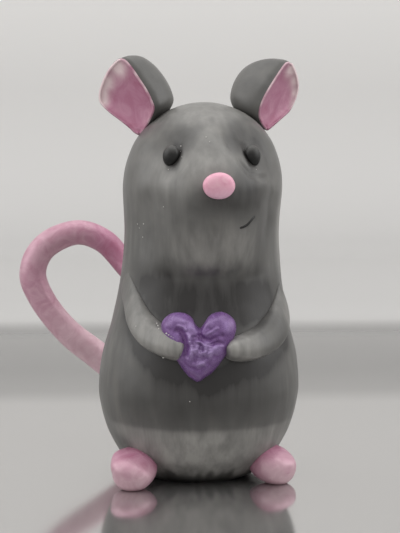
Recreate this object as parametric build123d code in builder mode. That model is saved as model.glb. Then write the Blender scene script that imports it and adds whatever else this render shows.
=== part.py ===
from build123d import *
import os
from math import cos, radians, sin, tan

# A standing clay mouse that holds a heart. The mouse looks along -Y, +Z is up, and the
# origin is the foot of the body's axis, on the flat that it stands on. Left and right are
# the mouse's own, so its right side lies towards -X. All lengths are in millimetres.

# Torso and head, one roll of grey clay with a ball for a belly, pressed flat where it stands
belly_radius = 14.0
belly_height = 12.9
flank_curve = 22.0
flank_turn = 17.0  # degrees of arc over the widest ring
head_radius = 11.05
neck_turn = 6.0  # degrees of arc that the head goes on for under its widest ring
head_centre_height = 40.9
body_lean = 1.1  # degrees, towards the mouse's left
head_turn = 5.2  # degrees, towards the mouse's left

# Muzzle, drawn out of the face towards the nose
muzzle_reach = 14.8
muzzle_width = 13.8
muzzle_brow_rise = 8.1  # over the head's centre, as the other rises and drops on the head are
muzzle_chin_drop = 13.3
# Each row: reach, width, and the heights of its top and bottom between chin and brow
muzzle_shares = [
    (0.45, 1.05, 1.00, 0.00),
    (0.71, 0.98, 0.89, 0.03),
    (0.85, 0.72, 0.785, 0.16),
    (0.945, 0.46, 0.70, 0.33),
    (1.00, 0.29, 0.67, 0.50),
]

# Nose, a pressed button with a domed front on the tip of the muzzle
nose_width = 4.5
nose_height = 3.7
nose_thickness = 1.7
nose_dome_radius = 3.4
nose_sunk = 0.65
nose_drop = 0.3

# Eyes, small black domed ovals set in thumbed hollows
eye_width = 2.2
eye_height = 2.8
eye_thickness = 1.6
eye_dome_radius = 1.9
eye_rise = 3.6
eye_bearing = 29.6  # degrees from the nose
eye_proud = 0.6
hollow_radius = 5.0
hollow_depth = 0.7

# Ears, cups of grey clay with a pink lining
ear_length = 10.6
ear_width = 10.4
ear_depth = 6.9
ear_wall = 0.8
ear_lining_thickness = 0.45
ear_lining_recess = 0.3
ear_reach = 4.9  # out from the skin of the head
ear_elevation = 48.3  # degrees, from the head's centre
ear_back = 1.3
ear_lean = 18.0  # degrees, outwards from upright
ear_facing = 38.0  # degrees, forwards from straight out
# Each row: place along the ear from its middle, width and depth
ear_shares = [
    (-0.52, 0.20, 0.34),
    (-0.40, 0.62, 0.62),
    (-0.22, 0.86, 0.88),
    (0.02, 1.00, 1.00),
    (0.25, 0.90, 0.86),
    (0.41, 0.62, 0.56),
    (0.50, 0.16, 0.18),
]

# Arms, flattened rolls laid from the shoulders down to the heart
arm_width = 4.6
arm_thickness = 3.0
arm_proud = 1.9
arm_right_shoulder_height = 26.6
arm_left_shoulder_height = 26.2
# Each row: bearing in degrees, height under the shoulder, width and thickness
arm_right_shares = [
    (-68.0, 1.00, 0.20, 0.20),
    (-62.0, 0.965, 0.72, 0.66),
    (-49.5, 0.885, 0.90, 0.98),
    (-33.0, 0.795, 0.96, 1.02),
    (-18.0, 0.72, 0.68, 0.94),
    (-12.0, 0.705, 0.22, 0.45),
]
arm_left_shares = [
    (76.0, 0.965, 0.22, 0.20),
    (70.0, 0.92, 0.80, 0.74),
    (55.0, 0.838, 1.05, 1.06),
    (34.0, 0.758, 1.01, 1.06),
    (19.0, 0.727, 0.74, 0.92),
    (13.5, 0.72, 0.22, 0.40),
]

# Heart, a cushion of purple clay with a domed front, held on the belly
heart_lobe_radius = 2.15
heart_lobe_side = 2.8
heart_lobe_rise = 2.25
heart_cheek_radius = 2.25
heart_cheek_side = 1.3
heart_cheek_drop = 0.95
heart_tip_radius = 1.0
heart_tip_drop = 3.8
heart_thickness = 3.9
heart_dome_radius = 9.0
heart_notch_round = 0.5
heart_proud = 2.8
heart_bearing = -3.5  # degrees
heart_centre_height = 19.3
heart_lean = 9.0  # degrees, laid back along the belly

# Feet, pink eggs under the front of the belly, with their heels raised
foot_length = 9.0
foot_width = 6.0
foot_thickness = 4.9
foot_centre_height = 2.35
foot_pitch = 16.0  # degrees
foot_right_side = 8.5
foot_right_front = 10.0
foot_right_toe_bearing = -14.0  # degrees
foot_left_side = 10.2
foot_left_front = 6.9
foot_left_toe_bearing = 36.0  # degrees
# Each row: place along the foot from its widest ring to the toe, width and thickness
foot_shares = [
    (-0.60, 0.10, 0.10),
    (-0.54, 0.38, 0.36),
    (-0.40, 0.66, 0.64),
    (-0.20, 0.90, 0.88),
    (0.00, 1.00, 1.00),
    (0.20, 0.90, 0.92),
    (0.33, 0.66, 0.70),
    (0.385, 0.36, 0.40),
    (0.40, 0.10, 0.12),
]

# Tail, a pink roll pinned under the belly and curled up beside the mouse's right flank
tail_root_radius = 2.45
tail_tip_radius = 1.6
tail_reach = 24.0
tail_depth = 26.2
tail_rise = 31.9
tail_ring_count = 18
# Each row: side, depth and height of a point on the tail's centre line
tail_shares = [
    (0.02, 0.22, 0.130),
    (0.06, 0.42, 0.098),
    (0.06, 0.62, 0.086),
    (0.00, 0.80, 0.089),
    (-0.13, 0.93, 0.135),
    (-0.32, 0.985, 0.240),
    (-0.54, 0.99, 0.375),
    (-0.77, 0.99, 0.515),
    (-0.93, 1.00, 0.660),
    (-0.998, 1.00, 0.800),
    (-0.93, 1.00, 0.925),
    (-0.72, 0.99, 0.998),
    (-0.54, 0.985, 0.955),
    (-0.41, 0.93, 0.850),
    (-0.31, 0.80, 0.765),
    (-0.24, 0.62, 0.715),
    (-0.19, 0.44, 0.690),
]

# Wire, a straight pin from the clay under the belly into the root of the tail
wire_radius = 0.5
wire_buried = 2.5
wire_end_share = 0.12

# Foil core, crushed into a blunt egg with flat sides, that the belly is built on
core_radius = 8.2
core_height = 19.0
core_foot_height = 6.1
core_side_count = 8
# Each row: height up the core and its radius there
core_shares = [(0.00, 0.48), (0.15, 0.84), (0.42, 1.00), (0.75, 0.80), (1.00, 0.32)]

os.makedirs("parts", exist_ok=True)


def around(bearing, radius, height=0):
    """A step out at a bearing in degrees from the front, towards the mouse's left."""
    return Vector(radius * sin(radians(bearing)), -radius * cos(radians(bearing)), height)


def on_axis(height):
    """The point of the leaning body's axis at a height."""
    return Vector(height * tan(radians(body_lean)), 0, height)


def on_head(rise):
    """The point of the axis at a rise over the head's centre."""
    return on_axis(head_centre_height + rise)


def skin_point(bearing, height):
    """Where a level ray, out from the axis at a bearing, leaves the clay of the body."""
    outward = around(bearing, 1)
    hits = skin.find_intersection_points(Axis(on_axis(height), outward))
    return max((place for place, _ in hits), key=lambda place: place.dot(outward))


def facing_plane(origin, bearing, tilt=0):
    """A plane that looks out at a bearing, with its Y up, tilted up by degrees."""
    outward = around(bearing, 1)
    upward = Vector(0, 0, 1)
    looking = outward * cos(radians(tilt)) + upward * sin(radians(tilt))
    return Plane(origin, x_dir=upward.cross(outward), z_dir=looking)


# Body before its seats: the turned roll, with the muzzle drawn out of it
body_plane = Plane.XZ.rotated((0, body_lean, 0))
body_axis = Axis((0, 0, 0), body_plane.y_dir)
with BuildPart() as clay:
    with BuildSketch(body_plane):
        with BuildLine():
            belly = CenterArc((0, belly_height), belly_radius, -90, 90)
            flank = CenterArc((belly_radius - flank_curve, belly_height), flank_curve, 0, flank_turn)
            crown = CenterArc((0, head_centre_height), head_radius, -neck_turn, 90 + neck_turn)
            TangentArc(flank @ 1, crown @ 0, tangent=flank % 1)
            Line(crown @ 1, belly @ 0)
        make_face()
    revolve(axis=body_axis)
    split(bisect_by=Plane.XY, keep=Keep.TOP)
    muzzle_tall = muzzle_chin_drop + muzzle_brow_rise
    for reach_share, width_share, top_share, bottom_share in muzzle_shares:
        middle = muzzle_tall * (top_share + bottom_share) / 2 - muzzle_chin_drop
        ring_centre = on_head(middle) + around(head_turn, muzzle_reach * reach_share)
        with BuildSketch(facing_plane(ring_centre, head_turn)):
            Ellipse(muzzle_width * width_share / 2, muzzle_tall * (top_share - bottom_share) / 2)
    loft()

skin = clay.part.shell()


def domed_button(front, bearing, length, breadth, thickness, dome_radius, turn=0):
    """A round-ended button that faces out at a bearing, its front cut to a dome."""
    with BuildPart() as button:
        with BuildSketch(facing_plane(front, bearing)):
            SlotOverall(length, breadth, rotation=turn)
        extrude(amount=-thickness)
        with Locations(front - around(bearing, dome_radius)):
            Sphere(dome_radius, mode=Mode.INTERSECT)
    return button


# Nose
nose = domed_button(
    on_head(-nose_drop) + around(head_turn, muzzle_reach + nose_thickness - nose_sunk),
    head_turn,
    nose_width,
    nose_height,
    nose_thickness,
    nose_dome_radius,
)


# Eyes
def make_eye(bearing):
    """An eye, and the ball that thumbs the hollow around it."""
    face = skin_point(bearing, head_centre_height + eye_rise)
    front = face + around(bearing, eye_proud - hollow_depth)
    eye = domed_button(
        front, bearing, eye_height, eye_width, eye_thickness, eye_dome_radius, turn=90
    )
    with BuildPart() as hollow:
        with Locations(face + around(bearing, hollow_radius - hollow_depth)):
            Sphere(hollow_radius)
    return eye, hollow


eye_right, hollow_right = make_eye(head_turn - eye_bearing)
eye_left, hollow_left = make_eye(head_turn + eye_bearing)


# Arms
def make_arm(shoulder_height, arm_shares):
    """Lofts ovals laid square to a line that runs down the skin, then rounds both ends off."""
    rings = []
    for bearing, height_share, width_share, thickness_share in arm_shares:
        place = skin_point(bearing, shoulder_height * height_share)
        half_thickness = arm_thickness * thickness_share / 2
        sunk = arm_proud * thickness_share - half_thickness
        rings.append((place + around(bearing, sunk), bearing, arm_width * width_share / 2, half_thickness))
    path = Spline([ring[0] for ring in rings])
    with BuildPart() as arm:
        for centre, bearing, half_width, half_thickness in rings:
            along = path % path.param_at_point(centre)
            across = around(bearing, 1).cross(along)
            with BuildSketch(Plane(centre, x_dir=across, z_dir=along)):
                Ellipse(half_width, half_thickness)
        loft()
    return arm


arm_right_form = make_arm(arm_right_shoulder_height, arm_right_shares)
arm_left_form = make_arm(arm_left_shoulder_height, arm_left_shares)

# Heart
heart_seat = skin_point(heart_bearing, heart_centre_height)
heart_back = heart_seat + around(heart_bearing, heart_proud - heart_thickness)
with BuildSketch() as heart_half:
    with Locations((heart_lobe_side, heart_lobe_rise)):
        Circle(heart_lobe_radius)
    with Locations((heart_cheek_side, -heart_cheek_drop)):
        Circle(heart_cheek_radius)
    with Locations((0, -heart_tip_drop)):
        Circle(heart_tip_radius)
    make_hull()
with BuildSketch() as heart_outline:
    add(heart_half.sketch)
    mirror(heart_half.sketch, about=Plane.YZ)
    corners = heart_outline.vertices()
    middle_corners = corners.filter_by_position(Axis.X, -heart_notch_round, heart_notch_round)
    fillet(middle_corners.sort_by(Axis.Y)[-1], radius=heart_notch_round)
with BuildPart() as heart_block:
    with BuildSketch():
        add(heart_outline.sketch)
    extrude(amount=heart_thickness)
    with Locations((0, 0, heart_thickness - heart_dome_radius)):
        Sphere(heart_dome_radius, mode=Mode.INTERSECT)
with BuildPart() as heart_form:
    with Locations(facing_plane(heart_back, heart_bearing, heart_lean)):
        add(heart_block.part)


# Ears
def ear_axes(side):
    """An ear's own directions, along it and out of its cup; side is 1 on the left."""
    lean = radians(ear_lean)
    facing = radians(ear_facing)
    sideways = around(head_turn + side * 90, 1)
    upward = Vector(0, 0, 1)
    along = sideways * sin(lean) + upward * cos(lean)
    flat = sideways * cos(lean) - upward * sin(lean)
    return along, flat * cos(facing) + around(head_turn, 1) * sin(facing)


def ear_form(side, inset, recess=0):
    """The ear's outside, drawn in by an inset and cut off at its rim or a recess under it."""
    along, opening = ear_axes(side)
    from_centre = head_radius + ear_reach
    sideways = around(head_turn + side * 90, from_centre * cos(radians(ear_elevation)))
    middle = on_head(from_centre * sin(radians(ear_elevation))) + sideways
    middle -= around(head_turn, ear_back)
    with BuildPart() as form:
        for place_share, width_share, depth_share in ear_shares:
            centre = middle + along * (ear_length - 2 * inset) * place_share
            with BuildSketch(Plane(centre, x_dir=opening.cross(along), z_dir=along)):
                Ellipse(
                    (ear_width / 2 - inset) * width_share,
                    (ear_depth - inset) * depth_share,
                )
        loft()
        split(bisect_by=Plane(middle - opening * recess, z_dir=opening), keep=Keep.BOTTOM)
    return form


def make_ear(side):
    """An ear's grey cup and the pink lining pressed into it."""
    with BuildPart() as cup:
        add(ear_form(side, 0).part)
        add(ear_form(side, ear_wall).part, mode=Mode.SUBTRACT)
        add(clay.part, mode=Mode.SUBTRACT)
    with BuildPart() as lining:
        add(ear_form(side, ear_wall, ear_lining_recess).part)
        add(ear_form(side, ear_wall + ear_lining_thickness).part, mode=Mode.SUBTRACT)
        add(clay.part, mode=Mode.SUBTRACT)
    return cup, lining


ear_right, ear_lining_right = make_ear(-1)
ear_left, ear_lining_left = make_ear(1)


# Feet
def make_foot(side, front, toe_bearing):
    """A foot lofted from heel to toe, with its heel raised, cut flat where it stands."""
    toeward = around(toe_bearing, cos(radians(foot_pitch)), -sin(radians(foot_pitch)))
    with BuildPart() as foot:
        for place_share, width_share, thickness_share in foot_shares:
            centre = Vector(side, -front, foot_centre_height) + toeward * foot_length * place_share
            across = Vector(0, 0, 1).cross(toeward)
            with BuildSketch(Plane(centre, x_dir=across, z_dir=toeward)):
                Ellipse(foot_width * width_share / 2, foot_thickness * thickness_share / 2)
        loft()
        split(bisect_by=Plane.XY, keep=Keep.TOP)
        add(clay.part, mode=Mode.SUBTRACT)
    return foot


foot_right = make_foot(-foot_right_side, foot_right_front, foot_right_toe_bearing)
foot_left = make_foot(foot_left_side, foot_left_front, foot_left_toe_bearing)

# Tail and wire
tail_line = Spline([(tail_reach * x, tail_depth * y, tail_rise * z) for x, y, z in tail_shares])


def roll_along(line, radii_by_share):
    """Lofts circles square to a line, each turned as little as may be from the last."""
    steady = Vector(1, 0, 0)
    with BuildPart() as roll:
        for share, radius in radii_by_share:
            along = line % share
            steady = steady - along * steady.dot(along)
            with BuildSketch(Plane(line @ share, x_dir=steady, z_dir=along)):
                Circle(radius)
        loft()
    return roll


tail_steps = [step / tail_ring_count for step in range(tail_ring_count + 1)]
tail_form = roll_along(
    tail_line,
    [(step, tail_root_radius + (tail_tip_radius - tail_root_radius) * step) for step in tail_steps],
)
wire_run = tail_line @ wire_end_share - tail_line @ 0
with BuildPart(Plane(tail_line @ 0 - wire_run.normalized() * wire_buried, z_dir=wire_run)) as tail_wire:
    Cylinder(
        wire_radius,
        wire_run.length + wire_buried,
        align=(Align.CENTER, Align.CENTER, Align.MIN),
    )

# Foil core
with BuildPart() as foil_core:
    for height_share, radius_share in core_shares:
        with BuildSketch(Plane(on_axis(core_foot_height + core_height * height_share))):
            RegularPolygon(core_radius * radius_share, core_side_count)
    loft(ruled=True)

# Seats, each piece cut by what it is pressed onto
with BuildPart() as arm_right:
    add(arm_right_form.part)
    add(clay.part, mode=Mode.SUBTRACT)

with BuildPart() as arm_left:
    add(arm_left_form.part)
    add(clay.part, mode=Mode.SUBTRACT)

with BuildPart() as heart:
    add(heart_form.part)
    add([clay.part, arm_right_form.part, arm_left_form.part], mode=Mode.SUBTRACT)

with BuildPart() as tail:
    add(tail_form.part)
    add([clay.part, tail_wire.part], mode=Mode.SUBTRACT)

with BuildPart() as body:
    add(clay.part)
    pressed_in = [eye_right, eye_left, nose, tail_wire, foil_core]
    for taken in pressed_in + [hollow_right, hollow_left]:
        add(taken.part, mode=Mode.SUBTRACT)

pieces = {
    "body": body,
    "foil_core": foil_core,
    "nose": nose,
    "eye_left": eye_left,
    "eye_right": eye_right,
    "ear_left": ear_left,
    "ear_right": ear_right,
    "ear_lining_left": ear_lining_left,
    "ear_lining_right": ear_lining_right,
    "arm_left": arm_left,
    "arm_right": arm_right,
    "heart": heart,
    "foot_left": foot_left,
    "foot_right": foot_right,
    "tail": tail,
    "tail_wire": tail_wire,
}
for name, piece in pieces.items():
    piece.part.label = name
    export_step(piece.part, f"parts/{name}.step")
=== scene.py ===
import random
from math import copysign, cos, degrees, exp, hypot, pi, radians, sin, sqrt, tan

import bmesh
import bpy
from bpy.props import FloatProperty, FloatVectorProperty, IntProperty, PointerProperty
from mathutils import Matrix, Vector, noise


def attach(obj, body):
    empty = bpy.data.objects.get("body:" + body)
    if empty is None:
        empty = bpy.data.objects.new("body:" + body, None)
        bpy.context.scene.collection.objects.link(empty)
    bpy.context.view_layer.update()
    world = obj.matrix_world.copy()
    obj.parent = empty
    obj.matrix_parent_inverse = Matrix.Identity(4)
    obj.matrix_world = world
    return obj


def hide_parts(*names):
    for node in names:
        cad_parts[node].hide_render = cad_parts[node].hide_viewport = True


bl_info = {
    "name": "Clay Mouse",
    "version": (1, 0, 0),
    "blender": (4, 5, 0),
    "location": "View3D > Sidebar > Clay Mouse",
    "description": "Models a clay mouse that holds a heart, over its packed CAD frame",
    "category": "Add Mesh",
}

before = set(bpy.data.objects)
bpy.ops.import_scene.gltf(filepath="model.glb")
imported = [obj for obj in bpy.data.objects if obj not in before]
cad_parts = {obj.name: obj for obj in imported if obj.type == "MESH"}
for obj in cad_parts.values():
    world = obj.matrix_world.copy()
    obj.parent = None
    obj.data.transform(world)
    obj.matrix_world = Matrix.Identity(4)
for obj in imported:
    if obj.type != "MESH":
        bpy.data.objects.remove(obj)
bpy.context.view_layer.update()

# The mouse looks along -Y and +Z is up. Left and right are the mouse's own. The tables and
# the sizes in this file are in millimetres and bearings are in degrees from the front,
# towards the mouse's left. Meshes are made in metres.
MM = 0.001
UP = Vector((0, 0, 1))
BODY_LEAN = radians(1.1)
HEAD_TURN = 5.2
# How uneven a hand-rolled form is, as a share of its radius
CLAY_UNEVEN = 0.05

# Body's outline: height and radius, from the flat that it stands on to the crown
BODY_OUTLINE = [
    (0, 6.6), (0.6, 8), (1.7, 9.4), (3, 10.6), (4.5, 11.6), (6.6, 12.7), (8.7, 13.4),
    (10.8, 13.86), (12.9, 14), (17.1, 13.5), (21.3, 12.46), (25.5, 11.55), (29.7, 11),
    (33.9, 10.75), (38.1, 10.95), (40.2, 11.05), (42.3, 10.9), (44.4, 10.4), (46.5, 9.53),
    (48.6, 7.95), (50.3, 5.85), (51.4, 3.4), (51.95, 0),
]
# Muzzle's ridge, height and reach from the axis, from the chin up to the brow
MUZZLE_OUTLINE = [
    (26, 9.8), (28.2, 10.8), (31, 12.5), (34.7, 13.95), (37.8, 14.55), (40.4, 14.6),
    (42.2, 14), (44, 12.9), (46, 11.3), (48, 9.2), (50, 6.4), (51.9, 0),
]
# Bearing from the ridge at which the muzzle has gone over into the turned body
MUZZLE_SPREAD = 48.0
# Waves of hand-rolled skin: how far out or in, and how many there are in a millimetre
SKIN_WAVES = [(0.09, 0.16), (0.035, 0.5)]
# Thumbed dabs on the body: bearing, height, half width, half height, turn and rise
BODY_DABS = [
    (-27, 46.4, 2.9, 2.4, 10, -0.62), (36, 46.6, 3, 2.5, -10, -0.68),
    (-25.2, 44.6, 1.5, 1.8, 0, -0.75), (33.2, 44.6, 1.5, 1.8, 0, -0.8),
    (-40, 40.9, 4.6, 1.7, 12, 0.28), (47, 40.7, 4.4, 1.5, -14, 0.28),
    (15.2, 46.7, 0.8, 1.7, 14, -0.42), (21, 46.6, 1, 2.4, 8, -0.22),
    (-38, 3.8, 4.2, 2.6, 30, 0.75), (48, 3.9, 4.2, 2.8, -30, 0.75),
    (-10, 30.6, 2.4, 2.2, 0, 0.22), (3, 29.9, 2.2, 1.8, 0, 0.28), (18, 30.2, 2.6, 1.9, 0, 0.24),
    (-22, 33, 2, 3.2, 0, 0.16), (30, 33, 2, 3.2, 0, 0.16),
]
# Painted shade and light, and pale smears, on the body: bearing, height, half width, half height
# and amount
BODY_TONES = [
    (2, 25.7, 12.5, 3, -0.95), (-38, 28.6, 3.6, 2.2, -0.5), (38, 25, 3.4, 2.8, -0.4),
    (2, 13.5, 12.5, 4.8, -0.66), (16, 39.2, 4.2, 1.9, -0.74), (23, 41.4, 1.5, 1.8, -0.5),
    (0, 51.5, 9, 3, 0.36), (2, 46.2, 3.4, 3.4, 0.3), (-18, 42, 5, 2.4, 0.26),
    (-29, 47, 3.4, 1.6, -0.52), (38, 47.2, 3.4, 2.1, -0.62), (19, 46.4, 1, 1.5, -0.35),
    (-23.6, 44.6, 0.9, 1.5, -1.9), (30.9, 44.7, 0.8, 1.5, -1.9), (8, 32.6, 5.2, 2.9, 0.42),
    (-14, 32.6, 4.5, 2.3, 0.1), (43, 33.5, 1.9, 6.5, -0.4), (80, 35, 2.4, 7, 0.46),
    (46, 44.2, 1.8, 3, -0.35), (-12, 41.5, 15, 4.5, 0.14), (-7, 6.8, 2.2, 1, 0.34),
    (-14, 4.6, 2.4, 1.4, 0.4), (12, 4.3, 2.6, 1.2, 0.24), (-60, 4.8, 2.2, 1.8, -0.45),
    (-1.5, 5, 1.1, 1.5, 0.3), (7.5, 7, 1.6, 0.9, 0.32), (0, 0, 60, 1.5, -1.3),
]
# Soft shade where clay meets clay: half width and amount, then points as bearing and height
BODY_SHADES = [
    (1.3, -1.2, [
        (-56, 24.2), (-50, 22), (-42, 19.7), (-32, 18), (-22.5, 16.9), (-14, 16.3),
        (3.6, 14.8), (12, 15.8), (20.7, 16.7), (33.8, 16.5), (47.7, 17.9), (63, 19.6),
    ]),
    (1, -0.5, [(-43, 27.4), (-35, 25.3), (-29, 24), (-24, 22.9)]),
    (1.1, -0.62, [(20, 22.1), (30.5, 23.3), (38, 23.9), (46.6, 25.3)]),
    (1.5, -0.5, [(-58, 23.4), (-50, 21), (-41, 18.8), (-30, 17.2), (-20, 16.2)]),
]
# Places wider than this end raggedly, by so many millimetres
BROAD_TONE = 8.0
RAGGED_BY = 1.1
# Painted light and reflection from the floor on the low belly: its upper edge, how softly it ends
# there, its bearing to each side and its tone
LOW_BELLY_HEIGHT = 8.6
LOW_BELLY_BLUR = 0.7
LOW_BELLY_BEARING = 75.0
LOW_BELLY_FLOOR_LIGHT = 0.5
# Pressed lines on the body: half width and depth, then points as bearing and height
BODY_CREASES = [
    (0.32, 0.22, [(13.6, 47.9), (14, 46.9), (15.6, 45.8)]),
    (0.42, 0.48, [(19.2, 45), (20.4, 43.6), (25, 42.4), (36, 41.8), (46, 41.6)]),
    (0.4, 0.24, [(-12.6, 45), (-14.6, 43.4), (-20, 42.4), (-31, 41.9)]),
    (0.22, 0.16, [(18.6, 35.1), (21.5, 35.2), (25.5, 35.5), (30.8, 36.4)]),
]
# Eyes: bearing, height and reach from the axis of each bead's middle
EYE_PLACES = {"right": (-26.4, 44.65, 10.66), "left": (34.6, 44.65, 10.76)}
# Half width, half height and half thickness of a bead and of the nose
EYE_HALVES = (1.22, 1.48, 1)
NOSE_HALVES = (2.13, 1.77, 1.05)
NOSE_HEIGHT = 40.92
NOSE_REACH = 14.9
# Mouth: its roll's radius, how deep the roll's middle lies, and points as bearing and height
MOUTH_RADIUS = 0.24
MOUTH_SUNK = 0.12
MOUTH_LINE = [(18.2, 35.3), (20.6, 35.4), (23.6, 35.7), (26.6, 36.3), (29.6, 36.8)]

# An arm's underside lies this deep in the skin, and clay less proud than the seat sinks further
ARM_BURIED = 1.3
ARM_SEAT = 0.15
# Painted light at an arm's paw, which faces up, how much darker the painted shade at its shoulder
# is and the share that this fades over
ARM_PAW_LIGHT = 0.75
ARM_SHADE = 0.6
ARM_SHADED_SHARE = 0.45
# Painted shade of a thumbed dent in the left forearm, which the mesh lacks: share of the arm's
# length, half width and how dark it is
ARM_DENT_SHADE = (0.57, 0.1, 0.75)
# Arms: bearing, height, half width and how far the clay stands proud
ARM_RIGHT_ROWS = [
    (-84, 29.9, 0.1, -0.5), (-80, 29.1, 1, -0.1), (-74, 27.8, 1.5, 0.08),
    (-65, 26.5, 1.65, 0.25), (-54.5, 24.75, 1.65, 0.8), (-44, 22.6, 1.8, 1.5),
    (-33, 20.85, 1.95, 2.1), (-22, 19.75, 1.9, 2.85), (-14, 19.05, 1.6, 3.2),
    (-11.6, 18.9, 1.35, 3.15), (-10.6, 18.85, 0.8, 2.8),
]
ARM_LEFT_ROWS = [
    (91, 29.3, 0.1, -0.5), (87, 28.4, 1, -0.1), (81, 26.8, 1.6, -0.1), (73, 25.3, 1.95, 0.4),
    (64, 23.55, 2.1, 0.9), (52, 21.7, 2.15, 1.6), (39, 20.15, 2.1, 2.1), (27, 19.3, 1.95, 2.65),
    (18, 19.05, 1.65, 3), (12.8, 19, 1.15, 3.1), (10.6, 19, 0.45, 2.6),
]

# Heart's outline from its notch, round by the mouse's right side; side and rise
HEART_OUTLINE = [
    (0.2, 2.92), (-0.47, 3.45), (-0.85, 4.2), (-1.6, 4.77), (-2.73, 4.97), (-3.85, 4.73),
    (-4.7, 3.97), (-5, 3.1), (-4.76, 1.87), (-4.1, 0.43), (-3.4, -0.75), (-2.62, -1.84),
    (-2.02, -2.75), (-1.25, -3.6), (-0.33, -4.2), (0.2, -4.15), (0.88, -3.65),
    (1.64, -3.14), (2.39, -2.35), (3.13, -1.36), (3.67, -0.66), (4.28, 0.56), (4.8, 1.95),
    (4.97, 2.92), (4.75, 3.9), (4, 4.65), (3.13, 5.03), (2.24, 4.95), (1.4, 4.51),
    (0.75, 3.6),
]
HEART_MIDDLE = (0, 0.5)
# How it lies on the belly, how proud its face stands and how far the face falls back at its edge
HEART_BEARING = -3.5
HEART_HEIGHT = 19.08
HEART_LEAN = 9.0
HEART_PROUD = 2.9
HEART_EDGE = 1.0
# Depth that the folds and crumples of its face never pass
HEART_DEEPEST = -0.26
# Folds of the heart's clay: half width and rise, then points as side and rise
HEART_FOLDS = [
    (0.85, 0.26, [(-4.2, 2.8), (-3.4, 4.1), (-2.1, 3.9), (-1.1, 2.6), (-0.5, 1.6)]),
    (0.9, 0.24, [(1.2, 2.8), (1.9, 4), (3.1, 4.1), (4, 3), (3.7, 1.8)]),
    (0.36, -0.4, [(-3.2, 2.7), (-2.3, 2.3), (-1.8, 1.3), (-1.7, 0.2), (-1.8, -1.2)]),
    (0.22, 0.36, [(-1.5, 2.2), (-1.2, 1.2), (-0.9, 0), (-0.95, -1.8)]),
    (0.26, 0.26, [(-0.9, -1.9), (-0.2, -2.15), (0.6, -1.9), (1.1, -1.2)]),
    (0.28, -0.36, [(0.1, 2.4), (0.4, 1.6), (1.5, 1.2), (2.6, 1.7), (3.4, 1.9)]),
    (0.2, 0.24, [(1, 1.9), (1.8, 2.3), (2.7, 2.9)]),
    (0.18, 0.34, [(-0.5, 1), (0.3, 0.9), (0.9, 0.4), (0.9, -0.4), (0.2, -0.8)]),
    (0.3, 0.2, [(-0.5, 0.3), (0.2, 0.2), (0.4, -0.4), (-0.2, -0.9)]),
    (0.4, 0.3, [(1.2, -0.9), (2, -0.1), (2.8, 0.3), (2.3, -0.8)]),
    (0.22, -0.3, [(1.3, 0.5), (2.4, 0.9), (3.5, 0.7)]),
    (0.55, 0.16, [(-2.4, -2), (-1.2, -2.9), (0.2, -3.3)]),
    (0.2, -0.22, [(-2.2, -1.4), (-1.2, -2.3), (0, -2.7), (1, -2.3)]),
    (0.16, 0.22, [(-2.9, 3.2), (-2, 2.9), (-1.6, 2.3)]),
]

# Ears: place along the ear, outer and inner half width and depth of the cup
EAR_RIGHT_ROWS = [
    (-5.7, 0.2, 0.4, 0.6), (-5.2, 0.9, 1.4, 2.6), (-4.2, 1.7, 2.9, 4.4), (-2.8, 3.1, 4.45, 5.7),
    (-1.3, 4.6, 4.5, 6.3), (0.2, 5.6, 4.15, 6.5), (1.6, 5.1, 3.6, 6.25), (3, 3.7, 3.05, 5.45),
    (4.2, 2, 2.45, 4.2), (4.85, 0.6, 1.95, 2.9), (5.2, -0.6, 1.3, 1.4),
]
EAR_LEFT_ROWS = [
    (-5.05, 0.1, 0.5, 0.6), (-4.6, 0.8, 2.1, 2.8), (-3.8, 1.75, 3.6, 4.6),
    (-2.6, 3.2, 4.2, 5.9), (-1.2, 4.7, 4.1, 6.6), (0.4, 5.3, 3.5, 6.9), (1.9, 5.3, 2.75, 6.7),
    (3.1, 4.5, 2.1, 5.9), (4.1, 3.1, 1.5, 4.4), (4.75, 1.8, 0.95, 2.6), (5.05, 1, 0.2, 1),
]
# Places where the lining is smeared pale: place along the ear, across it, size and amount
EAR_SMEARS = {
    "right": [
        (4.2, 0.2, 1.4, 1.2), (2.8, 3.3, 1.1, 1.2), (0.3, 5.3, 0.9, 1.3), (1.5, 4.7, 0.9, 1.2),
    ],
    "left": [(4.4, 1.8, 1.2, 1.4), (3.2, 4, 1, 1.1), (1.6, 5, 0.8, 0.9), (0, 5.4, 0.8, 0.8)],
}
# Skins of an ear's cup and of its lining: inset from the ear's outline and share of its depth,
# outside and inside, then how deep below the ear's rim its own rim lies
EAR_CUP_SKINS = ((0, 1), (0.4, 0.24), 0)
EAR_SHEET_SKINS = ((0.06, 0.26), (0.42, 0.16), -0.14)
# Inset at which one of an ear's skins would have no length left
EAR_LONGEST_INSET = 7.0
EAR_FULLNESS = 0.78
# How far each cup's inner side swells behind the rim
EAR_SWELL = {"right": 0.5, "left": 0.95}
EAR_SIDE = 10.6
EAR_BACK = 1.3
EAR_HEIGHT = 52.8
EAR_LEAN = 18.0
EAR_FACING = 38.0

# Feet: place along the foot as a share of its length, then half width and half thickness
FOOT_ROWS = [
    (-0.6, 0.05, 0.05), (-0.56, 0.28, 0.3), (-0.42, 0.64, 0.62), (-0.2, 0.9, 0.88), (0, 1, 1),
    (0.18, 0.93, 0.95), (0.3, 0.74, 0.8), (0.375, 0.44, 0.52), (0.4, 0.06, 0.06),
]
FOOT_LENGTH = 9.0
FOOT_HALF_WIDTH = 3.0
FOOT_HALF_THICKNESS = 2.5
FOOT_PITCH = 16.0
FOOT_HEIGHT = 2.5
# How far the top of the right foot was pushed over
FOOT_SKEW = 1.05
# Side, front and toe bearing of the right foot and the left foot
FOOT_PLACES = {"right": (-8.88, 10, -14), "left": (9.82, 6.9, 36)}

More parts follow.
